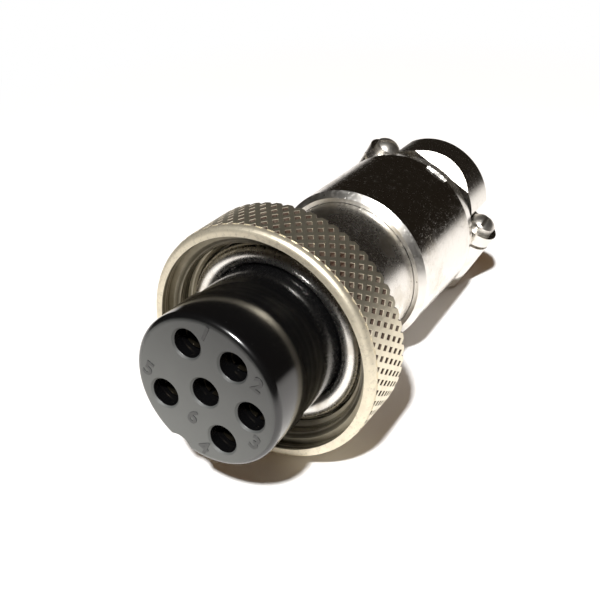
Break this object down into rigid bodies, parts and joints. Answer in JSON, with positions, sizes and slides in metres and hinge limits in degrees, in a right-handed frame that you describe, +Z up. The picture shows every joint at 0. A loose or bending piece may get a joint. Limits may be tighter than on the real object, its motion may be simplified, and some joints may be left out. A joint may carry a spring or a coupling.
{
  "type": "microphone plug",
  "caption": "Screw-ring microphone plug lying on its side: black insert with socket contacts, knurled coupling nut, plated barrel and a two-screw cable clamp",
  "frame": {"origin": "centre of the bottom of the bounding box, on the table the plug lies on", "axes": "+Z up; the plug's length runs along Y with the contact face towards -Y and the cable end towards +Y, dipping a few degrees to the cable end; X is across the plug"},
  "size_m": [0.0192, 0.0382, 0.0197],
  "materials": {
    "insulator": "glossy black phenolic moulding",
    "contact": "silvered brass, dulled",
    "plated": "bright nickel plate",
    "knurl": "satin nickel plate on the knurled nut",
    "screw": "nickel-plated steel",
    "ring": "spring steel"
  },
  "bodies": {
    "shell": {"front_insulator": "insulator", "rear_insulator": "insulator", "contact_1": "contact", "contact_2": "contact", "contact_3": "contact", "contact_4": "contact", "contact_5": "contact", "contact_6": "contact", "front_sleeve": "plated", "retaining_ring": "ring", "backshell": "plated", "lock_screw": "screw"},
    "nut": {"coupling_nut": "knurl"},
    "saddle": {"clamp_saddle": "plated"},
    "screw_left": {"clamp_screw_left": "screw"},
    "screw_right": {"clamp_screw_right": "screw"}
  },
  "joints": [
    {"name": "nut_spin", "type": "hinge", "parent": "shell", "child": "nut", "pos_m": [0, -0.00918, 0.00985], "axis": [0, 0.992, -0.1264], "continuous": true},
    {"name": "saddle_slide", "type": "slide", "parent": "shell", "child": "saddle", "axis": [0.4764, 0.1111, 0.8722], "range_m": [-0.00024, 0.00158]},
    {"name": "screw_left_spin", "type": "hinge", "parent": "saddle", "child": "screw_left", "pos_m": [-0.00379, 0.01697, 0.01174], "axis": [0.4764, 0.1111, 0.8722], "range_deg": [-252, 1620]},
    {"name": "screw_right_spin", "type": "hinge", "parent": "saddle", "child": "screw_right", "pos_m": [0.00641, 0.01627, 0.00626], "axis": [0.4764, 0.1111, 0.8722], "range_deg": [-252, 1620]}
  ],
  "couplings": [
    {"joint": "screw_left_spin", "follows": "saddle_slide", "rad_per_m": 17952},
    {"joint": "screw_right_spin", "follows": "saddle_slide", "rad_per_m": 17952}
  ]
}
